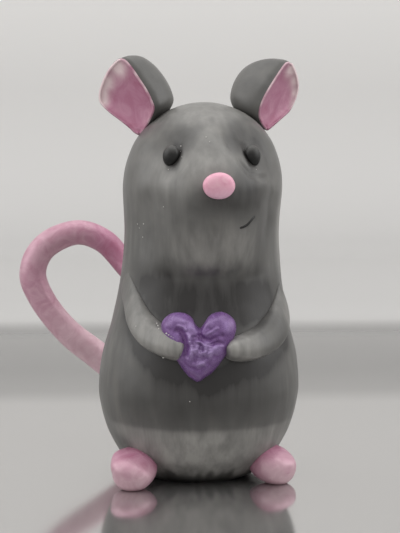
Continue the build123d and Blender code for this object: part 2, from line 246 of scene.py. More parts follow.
# Tail's centre line: side, depth and height
TAIL_LINE = [
    (0.5, 5.8, 4.15), (1.4, 11, 3.13), (1.4, 16.2, 2.74), (0, 21, 2.84),
    (-3.1, 24.4, 4.6), (-7.7, 25.8, 8.1), (-13, 25.9, 12.45), (-18.4, 25.9, 16.85),
    (-22.2, 26.2, 21.5), (-23.9, 26.2, 25.95), (-22.2, 26.2, 29.95), (-17.3, 25.9, 32.25),
    (-13, 25.8, 30.9), (-9.8, 24.4, 27.5), (-7.4, 21, 24.7), (-5.8, 16.2, 22.9),
    (-4.6, 11.5, 22),
]
# Tail's tone along it: share of its length, then paler above zero or deeper below
TAIL_TONES = [
    (0, 0.05), (0.3, 0.35), (0.4, 0.5), (0.52, 0.2), (0.62, 0.24), (0.7, 0.16), (0.8, -0.2),
    (1, -0.3),
]
TAIL_ROOT_RADIUS = 2.45
TAIL_TIP_RADIUS = 1.6

# Dust and lint: bearing, height, radius and how far out from the body's skin
DUST = [
    (-1.1, 47.2, 0.09, 0), (1.3, 46.6, 0.08, 0), (-20.6, 46, 0.09, 0), (-20.2, 45.3, 0.06, 0),
    (-26, 42.9, 0.07, 0), (-17.5, 44.6, 0.07, 0), (33.6, 42.9, 0.06, 0), (-57.3, 35.4, 0.08, 0),
    (-49.9, 35.5, 0.08, 0), (-55.1, 34.9, 0.06, 0), (-50.7, 33.7, 0.07, 0), (-27.5, 38, 0.07, 0),
    (-7.8, 12.3, 0.08, 0), (-25.9, 22.1, 0.1, 2.5), (-25, 21.8, 0.11, 2.6),
    (-24.4, 21.4, 0.08, 2.6), (-19.6, 20.7, 0.1, 3.1), (-18.4, 20.5, 0.08, 3.1),
    (-39.5, 21.6, 0.06, 2), (-17, 20.3, 0.06, 3.2), (-15.8, 20.1, 0.05, 3.3),
    (-20.2, 17.7, 0.07, 2.9),
]

# Sheet under and behind the mouse: how far back along it, and its painted shade and light there
SWEEP_TONES = [
    (0, 0.99), (62, 0.99), (76, 0.57), (103, 0.43), (134, 0.47), (168, 0.54), (190, 0.98),
    (240, 0.97), (400, 1.02), (470, 1.3), (530, 1.6),
]
SWEEP_RUN = 600.0
# The sheet lies flat from its front edge, bends up at a radius and stands to its top edge
SWEEP_FRONT = -900.0
SWEEP_FLAT = 370.0
SWEEP_BEND = 60.0
SWEEP_TOP = 900.0
SWEEP_HALF_WIDTH = 1200.0
# How far below the mouse's flat it lies, so that the two don't share a plane
SWEEP_GAP = 0.01
# Its mirror polish fades to a matt finish between these two distances back along it
POLISH_FADES = (150.0, 200.0)
# Soft lights: place, then width and height
SOFTBOXES = {
    "overhead_softbox": ((0, 0, 600), (900, 700)),
    "left_softbox": ((-600, -50, 300), (600, 500)),
    "right_softbox": ((600, -50, 300), (600, 500)),
}
LIGHTS_AIM = (0, 0, 30)
# Photograph's camera
CAMERA_PLACE = (-12.68, -249.7, 50)
CAMERA_AIM = (0.42, 0, 29.1)
CAMERA_LENS = 121.5


def metres(place):
    """A point or a step in millimetres, in Blender's metres."""
    return Vector(place) * MM


def hex_colour(code):
    """A colour's sRGB hex code as linear red, green and blue."""
    shades = [int(code[at:at + 2], 16) / 255 for at in (1, 3, 5)]
    return [s / 12.92 if s <= 0.04045 else ((s + 0.055) / 1.055) ** 2.4 for s in shades]


def soft_bump(*gaps):
    """Height of a soft bump, 1 in its middle, at gaps counted in its own half widths."""
    return exp(-sum(gap * gap for gap in gaps))


def drawn_out(swing, power):
    """A sine or cosine raised to a power, its sign kept, to make a ring fuller or leaner."""
    return copysign(abs(swing) ** power, swing)


def ring_turns(count):
    """Cosine and sine at each step round a ring."""
    return [(cos(2 * pi * k / count), sin(2 * pi * k / count)) for k in range(count)]


def flowing(rows, share):
    """The row at a share of the way down a table, read off a smooth curve through all its rows."""
    at = min(max(share, 0.0), 1.0) * (len(rows) - 1)
    first = min(int(at), len(rows) - 2)
    t = at - first
    four = [rows[min(max(first + step, 0), len(rows) - 1)] for step in (-1, 0, 1, 2)]
    mixed = []
    for a, b, c, d in zip(*four):
        bend = (2 * a - 5 * b + 4 * c - d) * t * t + (3 * b - a - 3 * c + d) * t ** 3
        mixed.append(b + 0.5 * ((c - a) * t + bend))
    return mixed


def closed_flowing(points, share):
    """As flowing, on a closed outline."""
    lead = [points[-1], *points, *points[:3]]
    return flowing(lead, (1 + (share % 1.0) * len(points)) / (len(lead) - 1))


def curve_at(points, x):
    """Height at x of a smooth curve through (x, y) points, level beyond its ends."""
    if x <= points[0][0]:
        return points[0][1]
    if x >= points[-1][0]:
        return points[-1][1]
    last = len(points) - 1
    at = next(k for k in range(last) if points[k + 1][0] >= x)

    def slope(k):
        low = points[max(k - 1, 0)]
        high = points[min(k + 1, last)]
        return (high[1] - low[1]) / (high[0] - low[0])

    span = points[at + 1][0] - points[at][0]
    t = (x - points[at][0]) / span
    start = (1 + 2 * t) * (1 - t) ** 2 * points[at][1] + t * (1 - t) ** 2 * span * slope(at)
    end = t * t * (3 - 2 * t) * points[at + 1][1] + t * t * (t - 1) * span * slope(at + 1)
    return start + end


# Squared radii, so that the crown comes out round
SQUARED_OUTLINE = [(height, radius * radius) for height, radius in BODY_OUTLINE]


def around(bearing, radius, height=0.0):
    """A step out from the axis at a bearing."""
    return Vector((radius * sin(radians(bearing)), -radius * cos(radians(bearing)), height))


def on_axis(height):
    """The point of the leaning body's axis at a height."""
    return Vector((height * tan(BODY_LEAN), 0.0, height))


def angle_between(a, b):
    """The turn from bearing b to bearing a, in degrees from -180 to 180."""
    return (a - b + 180.0) % 360.0 - 180.0


def near_line(x, y, points):
    """How far a place is from a line through points, and how far along it, from 0 to 1."""
    best = (1e9, 0.0)
    for k in range(len(points) - 1):
        (ax, ay), (bx, by) = points[k], points[k + 1]
        ux, uy = bx - ax, by - ay
        t = min(max(((x - ax) * ux + (y - ay) * uy) / (ux * ux + uy * uy), 0.0), 1.0)
        gap = hypot(x - ax - ux * t, y - ay - uy * t)
        best = min(best, (gap, (k + t) / (len(points) - 1)))
    return best


def sculpted(bearing, height, radius):
    """How far thumbs and tools have moved the body's clay out or in at a place."""
    rise = 0.0
    for place, middle, wide, tall, turn, lift in BODY_DABS:
        aside = radians(angle_between(bearing, place)) * radius
        above = height - middle
        c, s = cos(radians(turn)), sin(radians(turn))
        rise += lift * soft_bump((aside * c + above * s) / wide, (above * c - aside * s) / tall)
    arc = radians(1.0) * radius
    for wide, depth, points in BODY_CREASES:
        flat = [(place * arc, level) for place, level in points]
        gap, along = near_line(angle_between(bearing, 0) * arc, height, flat)
        rise -= depth * (1 - (2 * along - 1) ** 4) * soft_bump(gap / wide)
    return rise


def body_radius(bearing, height):
    """The body's radius at a bearing and a height, muzzle and thumb marks included."""
    turned = sqrt(max(curve_at(SQUARED_OUTLINE, height), 0.0))
    aside = angle_between(bearing, HEAD_TURN) / MUZZLE_SPREAD
    if abs(aside) < 1 and MUZZLE_OUTLINE[0][0] < height < BODY_OUTLINE[-1][0]:
        reach = curve_at(MUZZLE_OUTLINE, height)
        turned += max(reach - turned, 0.0) * (1 - aside * aside) ** 1.5
    if turned > 1.0:
        turned += sculpted(bearing, height, turned)
        place = around(bearing, turned, height)
        turned += sum(lift * noise.noise(place * often) for lift, often in SKIN_WAVES)
    return turned


def body_tone(bearing, height, radius):
    """How pale, above zero, or dark, below zero, the body is painted at a place, painted shade and
    light included.
    """
    tone = 0.0
    turn = angle_between(bearing, 0)
    # The broad places of painted shade and light end raggedly
    ragged = height + RAGGED_BY * noise.noise(Vector((bearing * 0.16, 0.5, height * 0.1)))
    for place, middle, wide, tall, amount in BODY_TONES:
        aside = radians(angle_between(bearing, place)) * radius
        level = ragged if wide > BROAD_TONE else height
        tone += amount * exp(-((aside / wide) ** 4) - abs((level - middle) / tall) ** 3)
    for wide, amount, points in BODY_SHADES:
        line = [(radians(spot) * radius, level) for spot, level in points]
        tone += amount * soft_bump(near_line(radians(turn) * radius, height, line)[0] / wide)
    # Painted light and reflection from the floor on the low belly
    edge = LOW_BELLY_HEIGHT + 0.1 * (turn / 57) ** 2
    below = min(max((edge - height) / LOW_BELLY_BLUR, 0.0), 1.0)
    return tone + LOW_BELLY_FLOOR_LIGHT * below * max(1 - (turn / LOW_BELLY_BEARING) ** 4, 0.0)


def skin_point(bearing, height):
    """A point on the body's skin, in millimetres."""
    return on_axis(height) + around(bearing, body_radius(bearing, height))


def skin_normal(bearing, height):
    """The way out of the body's skin at a place."""
    aside = skin_point(bearing + 3, height) - skin_point(bearing - 3, height)
    above = skin_point(bearing, height + 0.6) - skin_point(bearing, height - 0.6)
    return aside.cross(above).normalized()


def laid_on_skin(rows, share, step):
    """A row of a line laid down the skin, its point there, the way out and the way across it."""
    row = flowing(rows, share)
    ahead = skin_point(*flowing(rows, min(share + step, 1.0))[:2])
    behind = skin_point(*flowing(rows, max(share - step, 0.0))[:2])
    out = skin_normal(*row[:2])
    return row, skin_point(*row[:2]), out, out.cross((ahead - behind).normalized()).normalized()


def upright(out):
    """The level way across a facing direction, and the way up that is square to both."""
    across = UP.cross(out).normalized()
    return across, out.cross(across).normalized()


def hand_rolled(point, centre, scale):
    """A point of a rolled form, moved in or out as uneven hands leave it."""
    return point + (point - centre) * CLAY_UNEVEN * noise.noise(point * scale)


def skin_over(rings):
    """Vertices and faces of a form with closed rings along it, its two ends closed."""
    count = len(rings[0])
    verts = [point for ring in rings for point in ring]
    faces = []
    for low in range(0, len(verts) - count, count):
        for k in range(count):
            after = (k + 1) % count
            faces.append((low + k, low + after, low + count + after, low + count + k))
    for ring, base, turn in ((rings[0], 0, -1), (rings[-1], len(verts) - count, 1)):
        middle = len(verts)
        verts.append(sum((Vector(p) for p in ring), Vector()) / count)
        for k in range(count):
            pair = (base + k, base + (k + 1) % count)
            faces.append((*pair[::turn], middle))
    return verts, faces


def add_piece(name, forms, material, node=None, tones=None):
    """Makes forms, each of rings in millimetres, into one smooth piece that rides on the root.

    tones says how pale, above zero, or dark, below zero, each point is painted, painted shade and
    light included."""
    verts, faces = [], []
    for rings in forms:
        points, sides = skin_over(rings)
        faces += [[len(verts) + k for k in side] for side in sides]
        verts += points
    mesh = bpy.data.meshes.new(name)
    form = bmesh.new()
    corners = [form.verts.new(metres(v)) for v in verts]
    for face in faces:
        form.faces.new([corners[k] for k in face])
    bmesh.ops.recalc_face_normals(form, faces=form.faces)
    form.to_mesh(mesh)
    form.free()
    mesh.polygons.foreach_set("use_smooth", [True] * len(mesh.polygons))
    tones = [*tones, tones[0], tones[-1]] if tones else [0.0] * len(verts)
    mesh.attributes.new("tone", "FLOAT", "POINT").data.foreach_set("value", tones)
    mesh.update()
    mesh.materials.append(material)
    piece = bpy.data.objects.new(name, mesh)
    bpy.context.scene.collection.objects.link(piece)
    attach(piece, "root")
    if node:
        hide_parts(node)


def add_node(tree, kind, settings, links=(), output=0):
    """Adds a shader node with settings and socket values, links its inputs and gives an output."""
    made = tree.nodes.new(kind)
    for name, value in settings.items():
        if name == "stops":
            ramp = made.color_ramp
            for at, (place, colour) in enumerate(value):
                stop = ramp.elements[at] if at < 2 else ramp.elements.new(place)
                stop.position = place
                stop.color = (*colour, 1.0)
        elif isinstance(name, int) or name in made.inputs:
            made.inputs[name].default_value = value
        else:
            setattr(made, name, value)
    for name, source in dict(links).items():
        tree.links.new(source, made.inputs[name])
    return made.outputs[output]


def start_material(name, **values):
    """A new material, its node tree with values on its shader, and the place in millimetres."""
    material = bpy.data.materials.new(name)
    material.use_nodes = True
    tree = material.node_tree
    for socket, value in values.items():
        tree.nodes["Principled BSDF"].inputs[socket].default_value = value
    spot = add_node(tree, "ShaderNodeTexCoord", {}, output="Object")
    scaling = {"operation": "SCALE", "Scale": 1 / MM}
    return material, tree, add_node(tree, "ShaderNodeVectorMath", scaling, {0: spot})


def feed(tree, socket, source):
    """Links a colour or a pattern to a socket of the material's shader."""
    tree.links.new(source, tree.nodes["Principled BSDF"].inputs[socket])


def tone_over(tree, colour, grain, tear, paling_colour, depth):
    """Pales or darkens a colour by the mesh's tone, which holds painted shade and light as well as
    the clay's own tones, torn by the clay's grain.
    """
    tone = add_node(tree, "ShaderNodeAttribute", {"attribute_name": "tone"}, output="Fac")
    tearing = {"operation": "MULTIPLY_ADD", 1: tear, 2: 1 - tear / 2}
    torn = add_node(tree, "ShaderNodeMath", tearing, {0: grain})
    above = add_node(tree, "ShaderNodeMath", {"operation": "MULTIPLY"}, {0: tone, 1: torn})
    turning = {"operation": "MULTIPLY", 1: -1.0, "use_clamp": True}
    below = add_node(tree, "ShaderNodeMath", turning, {0: above})
    for amount, code in ((above, paling_colour), (below, depth)):
        mixing = {"data_type": "RGBA", 7: (*hex_colour(code), 1.0)}
        colour = add_node(tree, "ShaderNodeMix", mixing, {0: amount, 6: colour}, 2)
    feed(tree, "Base Color", colour)


def vary_gloss(tree, pattern, low, high):
    """Lets the roughness follow a pattern."""
    span = {"From Min": 0.3, "From Max": 0.7, "To Min": low, "To Max": high}
    feed(tree, "Roughness", add_node(tree, "ShaderNodeMapRange", span, {"Value": pattern}))


def grain_skin(tree, place, scale, detail, strength, depth, under=()):
    """Raises the clay's fine grain, its depth in millimetres, and gives the grain's pattern.

    The grain of baked clay is too fine to show, so it is drawn 0.14 to 0.2 mm across."""
    fine = {"Scale": scale, "Detail": detail}
    grain = add_node(tree, "ShaderNodeTexNoise", fine, {"Vector": place})
    relief = {"Strength": strength, "Distance": depth * MM}
    raised = {"Height": grain, **dict(under)}
    feed(tree, "Normal", add_node(tree, "ShaderNodeBump", relief, raised))
    return grain


def grey_clay(colour, dark, pale):
    """Grey polymer clay, rolled and smoothed by hand, then baked.

    Satin, with soft upright strokes where fingers drew it up and pale patches where they
    pressed."""
    material, tree, place = start_material("grey_clay_hand_smoothed", IOR=1.5)
    # Finger ridges, 0.5 mm apart, are too fine to show: strokes are 1.3 mm wide and 14 mm long
    drawn = add_node(tree, "ShaderNodeMapping", {"Scale": (0.75, 0.75, 0.07)}, {"Vector": place})
    # Patches are as wide as a fingertip's flat, 5 mm
    shades = []
    for scale, detail, spot, pale_at, plain_at in (
        (1.0, 5.0, drawn, 0.7, 0.5), (1 / 5, 3.0, place, 0.8, 0.55),
    ):
        mottling = {"Scale": scale, "Detail": detail, "Roughness": 0.55}
        pattern = add_node(tree, "ShaderNodeTexNoise", mottling, {"Vector": spot})
        stops = [(0.3, dark), (pale_at, pale), (plain_at, colour)]
        shade = add_node(tree, "ShaderNodeValToRGB", {"stops": stops}, {"Fac": pattern})
        shades.append((pattern, shade))
    (strokes, stroked), (patches, clouded) = shades
    # The head was smoothed more than the belly: strokes give way to patches up to 40 mm
    height = add_node(tree, "ShaderNodeSeparateXYZ", {}, {0: place}, "Z")
    span = {"From Min": 31.0, "From Max": 40.0, "To Min": 0.42, "To Max": 0.9}
    smoothed = add_node(tree, "ShaderNodeMapRange", span, {"Value": height})
    joined = {0: smoothed, 6: stroked, 7: clouded}
    mixed = add_node(tree, "ShaderNodeMix", {"data_type": "RGBA"}, joined, 2)
    # The mesh's tone lays painted shade and light, and pale smears, over the clay
    tone_over(tree, mixed, strokes, 1.8, "#a3a19d", "#2c2a29")
    vary_gloss(tree, patches, 0.34, 0.46)
    relief = {"Strength": 0.35, "Distance": 0.08 * MM}
    drag = add_node(tree, "ShaderNodeBump", relief, {"Height": strokes})
    grain_skin(tree, place, 6.0, 3.0, 0.3, 0.02, {"Normal": drag})
    return material


def mica_clay(name, colour, dark, pale, streaks, gloss, paling_colour="#f3dcdf", depth="#7c3350"):
    """Polymer clay with mica in it, rolled by hand and baked.

    The mica gives a soft pearl sheen, in streaks that follow how the clay was rolled. streaks is
    how many there are in a millimetre, so they are 1.2 to 3.3 mm wide."""
    material, tree, place = start_material(name, Metallic=0.12, IOR=1.5)
    rolling = {"Scale": streaks, "Detail": 4.0, "Roughness": 0.6, "Distortion": 1.2}
    swirl = add_node(tree, "ShaderNodeTexNoise", rolling, {"Vector": place})
    stops = [(0.28, dark), (0.74, pale), (0.5, colour)]
    shade = add_node(tree, "ShaderNodeValToRGB", {"stops": stops}, {"Fac": swirl})
    # The mesh's tone pales and darkens the clay, painted shade and light included
    tone_over(tree, shade, swirl, 1.0, paling_colour, depth)
    grain = grain_skin(tree, place, 7.0, 3.0, 0.4, 0.03)
    vary_gloss(tree, grain, gloss - 0.07, gloss + 0.08)
    return material


def black_clay():
    """Black polymer clay, rolled into beads and baked.

    Satin near black, with a painted grey highlight on top and painted shade below."""
    material, tree, place = start_material("black_clay_rolled", Roughness=0.4, IOR=1.45)
    grain = grain_skin(tree, place, 5.0, 2.0, 0.3, 0.02)
    stops = {"stops": [(0.3, hex_colour("#121212")), (0.7, hex_colour("#201f1e"))]}
    shade = add_node(tree, "ShaderNodeValToRGB", stops, {"Fac": grain})
    # Painted highlight on top of each bead and painted shade below, by the mesh's tone
    tone_over(tree, shade, grain, 0.6, "#565553", "#080808")
    return material


def patterned(name, kind, settings, tones, **values):
    """A material whose colour follows one pattern between two tones, with its tree and pattern."""
    material, tree, place = start_material(name, **values)
    pattern = add_node(tree, kind, settings, {"Vector": place})
    stops = {"stops": [(at, hex_colour(code)) for at, code in tones]}
    feed(tree, "Base Color", add_node(tree, "ShaderNodeValToRGB", stops, {"Fac": pattern}))
    return material, tree, pattern


def crushed_foil():
    """Aluminium kitchen foil, crushed into a ball by hand.

    Bright bare metal, broken by creases into facets about 1.7 mm across."""
    crushing = {"Scale": 0.6, "feature": "DISTANCE_TO_EDGE"}
    material, tree, creases = patterned(
        "aluminium_foil_crushed", "ShaderNodeTexVoronoi", crushing,
        [(0.0, "#9b9b9d"), (0.4, "#d0d0d2")], Metallic=1.0, Roughness=0.3,
    )
    relief = {"Strength": 0.8, "Distance": 0.3 * MM}
    feed(tree, "Normal", add_node(tree, "ShaderNodeBump", relief, {"Height": creases}))
    return material


def drawn_wire():
    """Steel wire, drawn through a die and cut.

    Even grey metal, clouded a little in spots of 0.25 mm."""
    return patterned(
        "steel_wire_drawn", "ShaderNodeTexNoise", {"Scale": 4.0, "Detail": 2.0},
        [(0.3, "#7b7c7e"), (0.7, "#a0a1a3")], Metallic=1.0, Roughness=0.32,
    )[0]


def settled_dust():
    """Cotton dust and lint that settled on the clay.

    Pale and quite matt, so that its specks show on the grey. Its fluff is 0.05 mm across."""
    return patterned(
        "cotton_dust_settled", "ShaderNodeTexNoise", {"Scale": 20.0, "Detail": 2.0},
        [(0.3, "#bdbbb6"), (0.7, "#e4e2de")], Roughness=0.9,
    )[0]


def mirror_sheet(floor_colour):
    """Pale mirror sheet, polished in front and matt farther back.

    The polish shows the mouse and the backdrop again, softened. Painted shade darkens a band
    behind the mouse, and painted light brightens the backdrop as it rises."""
    material, tree, place = start_material("mirror_sheet_pale_curved")
    back, up = (add_node(tree, "ShaderNodeSeparateXYZ", {}, {0: place}, axis) for axis in "YZ")
    run = add_node(tree, "ShaderNodeMath", {"operation": "ADD"}, {0: back, 1: up})
    span = {"From Min": 0.0, "From Max": SWEEP_RUN}
    share = add_node(tree, "ShaderNodeMapRange", span, {"Value": run})
    # Painted shade in a band behind the mouse, and painted light up the backdrop
    tones = [(at / SWEEP_RUN, list(Vector(floor_colour) * shade)) for at, shade in SWEEP_TONES]
    toned = add_node(tree, "ShaderNodeValToRGB", {"stops": tones}, {"Fac": share})
    feed(tree, "Base Color", toned)
    near, far = POLISH_FADES
    for socket, polished, matt in (("Metallic", 0.86, 0.0), ("Roughness", 0.1, 0.7)):
        span = {"From Min": near, "From Max": far, "To Min": polished, "To Max": matt}
        feed(tree, socket, add_node(tree, "ShaderNodeMapRange", span, {"Value": run}))
    return material


def made_once(name, make, *values):
    """A material by its name, made the first time it is asked for."""
    return bpy.data.materials.get(name) or make(*values)


def shared_grey():
    """The grey clay of every grey piece."""
    settings = bpy.context.scene.mouse_body
    colours = (settings.colour[:], settings.dark[:], settings.pale[:])
    return made_once("grey_clay_hand_smoothed", grey_clay, *colours)


def shared_black():
    """The black clay of the eyes, also used for the mouth's dark line."""
    return made_once("black_clay_rolled", black_clay)


def shared_pink(name, streaks, gloss):
    """A pink mica clay, made once under each name."""
    colour = bpy.context.scene.mouse_pink.colour[:]
    tones = (hex_colour("#aa6883"), hex_colour("#c694a8"))
    return made_once(name, mica_clay, name, colour, *tones, streaks, gloss)


def colour_setting(name, description, code):
    """A colour that a user may change, and its default as a hex code."""
    return FloatVectorProperty(
        name=name, description=description, default=hex_colour(code),
        subtype="COLOR", min=0.0, max=1.0,
    )


def amount_setting(name, description, value, unit="NONE"):
    """An amount from zero up that a user may change."""
    return FloatProperty(name=name, description=description, default=value, min=0.0, unit=unit)


class StageSettings(bpy.types.PropertyGroup):
    floor_colour: colour_setting("Floor", "Colour of the floor and the backdrop", "#cac9c8")
    key_power: amount_setting("Overhead light", "Power of the soft light overhead", 2.3, "POWER")
    side_power: amount_setting("Side lights", "Power of each light at the sides", 1.5, "POWER")
    room_light: amount_setting("Room light", "Strength of the light from all round", 0.78)


class BodySettings(bpy.types.PropertyGroup):
    colour: colour_setting("Clay", "Main colour of the grey clay", "#636260")
    dark: colour_setting("Dark strokes", "Colour of the darker strokes", "#504f4d")
    pale: colour_setting("Pale strokes", "Colour of the paler strokes and patches", "#787672")
    rings: IntProperty(name="Rings", description="Rings of faces up the body", default=190, min=40)
    sides: IntProperty(name="Sides", description="Faces round the body", default=220, min=48)


class HeartSettings(bpy.types.PropertyGroup):
    colour: colour_setting("Clay", "Main colour of the purple clay", "#724e86")
    thickness: amount_setting("Dome", "How far its middle stands proud", 1.3 * MM, "LENGTH")


class PinkSettings(bpy.types.PropertyGroup):
    colour: colour_setting("Clay", "Main colour of the pink clay", "#b67c95")


class MOUSE_OT_body(bpy.types.Operator):
    """Model the body, with its muzzle, hollows and thumb marks"""

    bl_idname = "mouse.body"
    bl_label = "Body"

    def execute(self, context):
        settings = context.scene.mouse_body
        top = BODY_OUTLINE[-1][0]
        rings, tones = [], []
        for at in range(settings.rings + 1):
            # Rings lie closer together towards the flat and the crown
            share = 0.0015 + 0.997 * at / settings.rings
            height = top * (1 - cos(pi * share)) / 2 if at else 0.0
            radius = sqrt(max(curve_at(SQUARED_OUTLINE, height), 0.0))
            ring = []
            for k in range(settings.sides):
                # Faces are narrower in front, where the thumb marks are
                turn = 2 * pi * k / settings.sides - pi
                bearing = degrees(turn - 0.4 * sin(turn)) + HEAD_TURN
                ring.append(skin_point(bearing, height))
                tones.append(body_tone(bearing, height, radius))
            rings.append(ring)
        add_piece("body_skin", [rings], shared_grey(), "body", tones)
        return {"FINISHED"}


class MOUSE_OT_mouth(bpy.types.Operator):
    """Draw the mouth as a fine dark line pressed into the muzzle"""

    bl_idname = "mouse.mouth"
    bl_label = "Mouth"

    def execute(self, context):
        steps = 40
        rings = []
        for at in range(steps + 1):
            share = at / steps
            _, here, out, across = laid_on_skin(MOUTH_LINE, share, 0.02)
            here -= out * MOUTH_SUNK
            thick = MOUTH_RADIUS * sqrt(max(1 - (2 * share - 1) ** 6, 0.05))
            rings.append([here + across * thick * c + out * thick * s for c, s in ring_turns(10)])
        add_piece("mouth_line", [rings], shared_black())
        return {"FINISHED"}


def button_rings(centre, out, halves, power=2.4, sides=48, steps=18):
    """Rings of a pressed ball of given half width, height and thickness, from back to front."""
    wide, tall, thick = halves
    across, rise = upright(out)
    rings = []
    for at in range(steps + 1):
        level = sin(pi * (0.02 + 0.96 * at / steps) - pi / 2)
        size = (1 - abs(level) ** power) ** (1 / power)
        middle = centre + out * thick * level
        reach, lift = across * wide * size, rise * tall * size
        rings.append([middle + reach * c + lift * s for c, s in ring_turns(sides)])
    return rings


class MOUSE_OT_nose(bpy.types.Operator):
    """Press the pink nose onto the tip of the muzzle"""

    bl_idname = "mouse.nose"
    bl_label = "Nose"

    def execute(self, context):
        centre = on_axis(NOSE_HEIGHT) + around(HEAD_TURN, NOSE_REACH)
        rings = [
            [hand_rolled(point, centre, 0.55) for point in ring]
            for ring in button_rings(centre, around(HEAD_TURN, 1.0), NOSE_HALVES)
        ]
        # Paler below, as the sheet throws light up under it
        depths = [(centre.z - point.z) / 1.8 for ring in rings for point in ring]
        tones = [0.7 * min(max(depth, 0.0), 1.0) for depth in depths]
        colours = (hex_colour(code) for code in ("#ecb0c4", "#e2a0b6", "#f2c0ce"))
        pink = mica_clay("pink_clay_pressed", *colours, 0.8, 0.45, "#ffd2e8")
        add_piece("nose_button", [rings], pink, "nose", tones)
        return {"FINISHED"}


class MOUSE_OT_eyes(bpy.types.Operator):
    """Set the two black eyes into their hollows"""

    bl_idname = "mouse.eyes"
    bl_label = "Eyes"

    def execute(self, context):
        for side, (bearing, height, reach) in EYE_PLACES.items():
            centre = on_axis(height) + around(bearing, reach)
            # Each eye looks a little farther out than the skin that it sits in
            rings = button_rings(centre, around(bearing * 1.15, 1.0), EYE_HALVES, 2.1)
            # Painted highlight on each bead's top and painted shade below
            tones = [(point.z - centre.z) / 1.3 - 0.25 for ring in rings for point in ring]
            black = shared_black()
            add_piece("eye_bead_" + side, [rings], black, "eye_" + side, tones)
        return {"FINISHED"}


def ear_frame(side):
    """An ear's middle and its own directions: along it, out of its cup and to its outer edge."""
    lean, facing = radians(EAR_LEAN), radians(EAR_FACING)
    sideways, forward = around(HEAD_TURN + side * 90, 1), around(HEAD_TURN, 1)
    middle = on_axis(EAR_HEIGHT) + sideways * EAR_SIDE - forward * EAR_BACK
    along = sideways * sin(lean) + UP * cos(lean)
    flat = sideways * cos(lean) - UP * sin(lean)
    opening = flat * cos(facing) + forward * sin(facing)
    return middle, along, opening, along.cross(opening) * side


def ear_rings(side, rows, skins, swell=0.0, half_count=28, steps=44):
    """Crescent rings of a sheet of clay in the ear's form, between its two skins."""
    middle, along, opening, outer = ear_frame(side)
    outside, inside, rim = skins
    there, back = range(half_count + 1), range(half_count, -1, -1)
    rings = []
    for at in range(steps + 1):
        place, out_width, in_width, depth = flowing(rows, at / steps)
        ring = []
        for skin, swelling, turns in ((outside, swell, there), (inside, 0.0, back)):
            inset, depth_share = skin
            half = max((out_width + in_width) / 2 - inset, 0.05)
            deep = max(depth * depth_share - inset, 0.05)
            for k in turns:
                c, s = cos(pi * k / half_count), max(sin(pi * k / half_count), 0.0)
                across = (out_width - in_width) / 2 + half * drawn_out(c, EAR_FULLNESS)
                across -= swelling * sqrt(s) * max(-c, 0.0)
                down = rim + (deep - rim) * s ** EAR_FULLNESS
                spot = middle + along * place * (1 - inset / EAR_LONGEST_INSET)
                ring.append(spot + outer * across - opening * down)
        rings.append(ring)
    return rings


def ear_tones(side, rows, rings, smears):
    """How pale an ear's lining is at each point: pale at its rim and where it was smeared."""
    middle, along, _, outer = ear_frame(side)
    widths = [(row[0], row[1]) for row in rows]
    inner = [(row[0], -row[2]) for row in rows]
    tones = []
    for point in (point for ring in rings for point in ring):
        place, across = (point - middle).dot(along), (point - middle).dot(outer)
        to_rim = min(curve_at(widths, place) - across, across - curve_at(inner, place))
        worn = 0.5 + 0.9 * noise.noise(Vector((place * 0.9, across * 0.9, side)))
        tone = worn * soft_bump(max(to_rim, 0.0) / 0.45)
        for smear_place, smear_across, size, amount in smears:
            tone += amount * soft_bump(hypot(place - smear_place, across - smear_across) / size)
        if place < -1:
            tone -= 0.25 * max(1 - to_rim / 2.5, 0.0)
        tones.append(tone)
    return tones


class MOUSE_OT_ears(bpy.types.Operator):
    """Model the two ears, each a grey cup with a pink lining"""

    bl_idname = "mouse.ears"
    bl_label = "Ears"

    def execute(self, context):
        pink = shared_pink("pink_clay_sheet", 0.3, 0.45)
        for side, name, rows in ((-1, "right", EAR_RIGHT_ROWS), (1, "left", EAR_LEFT_ROWS)):
            rings = ear_rings(side, rows, EAR_CUP_SKINS, EAR_SWELL[name])
            # Shaded where the cup is stuck on the head
            tones = []
            for at, ring in enumerate(rings):
                tones += [-0.8 * max(1 - at / 16, 0.0)] * len(ring)
            add_piece("ear_cup_" + name, [rings], shared_grey(), "ear_" + name, tones)
            rings = ear_rings(side, rows, EAR_SHEET_SKINS)
            tones = ear_tones(side, rows, rings, EAR_SMEARS[name])
            add_piece("ear_sheet_" + name, [rings], pink, "ear_lining_" + name, tones)
        return {"FINISHED"}


def arm_rings(rows, count=40, steps=60):
    """Rings of a flattened roll laid down the skin, with its underside sunk into the clay."""
    rings = []
    for at in range(steps + 1):
        share = at / steps
        (*_, half, proud), here, out, across = laid_on_skin(rows, share, 0.01)
        across *= 1 if across.z > 0 else -1
        here -= out * max(ARM_SEAT - proud, 0.0)
        ring = []
        for c, s in ring_turns(count):
            # The roll's upper side falls away gently at the shoulder, and its lower side is full
            full = 1.5 - 0.7 * share if c > 0 else 0.5
            deep = proud * s ** full if s > 0 else -ARM_BURIED * abs(s) ** 0.8
            ring.append(here + across * half * drawn_out(c, 0.8) + out * deep)
        rings.append(ring)
    return rings


class MOUSE_OT_arms(bpy.types.Operator):
    """Lay the two arms from the shoulders to the heart"""

    bl_idname = "mouse.arms"
    bl_label = "Arms"

    def execute(self, context):
        dent_place, dent_size, dent_shade = ARM_DENT_SHADE
        for name, rows in (("right", ARM_RIGHT_ROWS), ("left", ARM_LEFT_ROWS)):
            rings = arm_rings(rows)
            tones = []
            for at, ring in enumerate(rings):
                share = at / len(rings)
                # Painted shade at the shoulder, as dark as the body there, and painted light
                # towards the paw
                tone = ARM_PAW_LIGHT * share - ARM_SHADE * max(1 - share / ARM_SHADED_SHARE, 0.0)
                # Painted shade of the thumbed dent
                if name == "left":
                    tone -= dent_shade * soft_bump((share - dent_place) / dent_size)
                tones += [tone] * len(ring)
            grey = shared_grey()
            add_piece("arm_roll_" + name, [rings], grey, "arm_" + name, tones)
        return {"FINISHED"}


